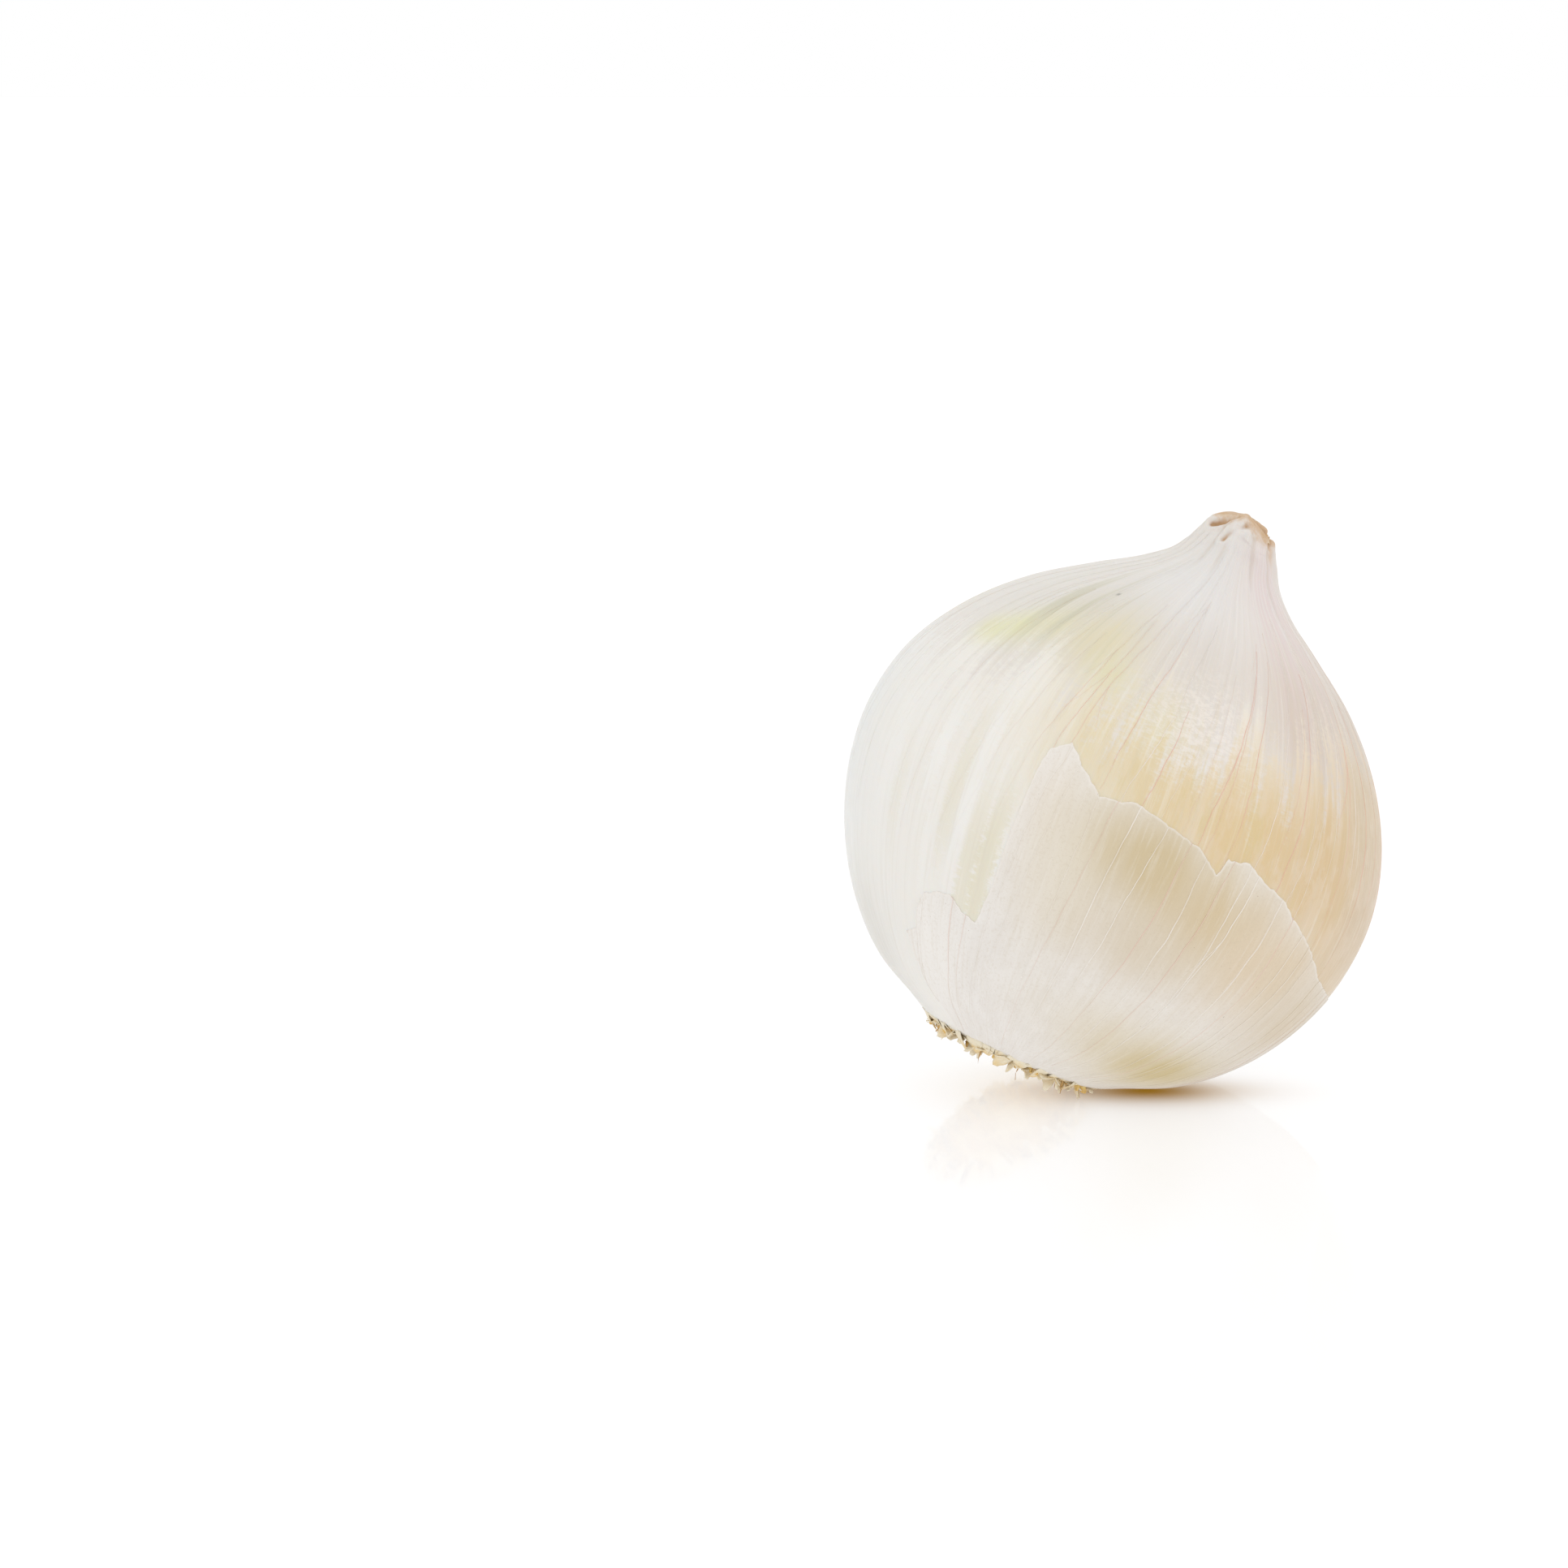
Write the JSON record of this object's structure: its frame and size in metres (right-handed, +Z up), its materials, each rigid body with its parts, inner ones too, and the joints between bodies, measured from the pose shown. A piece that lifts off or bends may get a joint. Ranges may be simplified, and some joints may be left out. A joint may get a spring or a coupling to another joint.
{
  "type": "onion",
  "caption": "Whole white onion lying on its cheek: ribbed round bulb with a closed neck, a torn papery outer skin and a dry root tuft.",
  "frame": {"origin": "on the small flat spot of the outer skin that the onion rests on, under the lowest point of its cheek", "axes": "+Z up from the surface that the onion lies on; the neck leans 25.5 degrees from +Z, toward +X and a little toward +Y; -Y is the side that the picture shows"},
  "size_m": [0.0781, 0.0816, 0.0842],
  "materials": {
    "inner_skin": "satin, pearly cream-white onion skin with fine pale green and pink veins",
    "outer_skin": "matte, dry papery onion skin, off-white to tan, with fine lengthwise grain",
    "roots": "dry, fibrous root stubs, straw yellow to brown"
  },
  "bodies": {
    "root": {"bulb": "inner_skin", "outer_skin": "outer_skin", "root_tuft": "roots"}
  },
  "joints": []
}
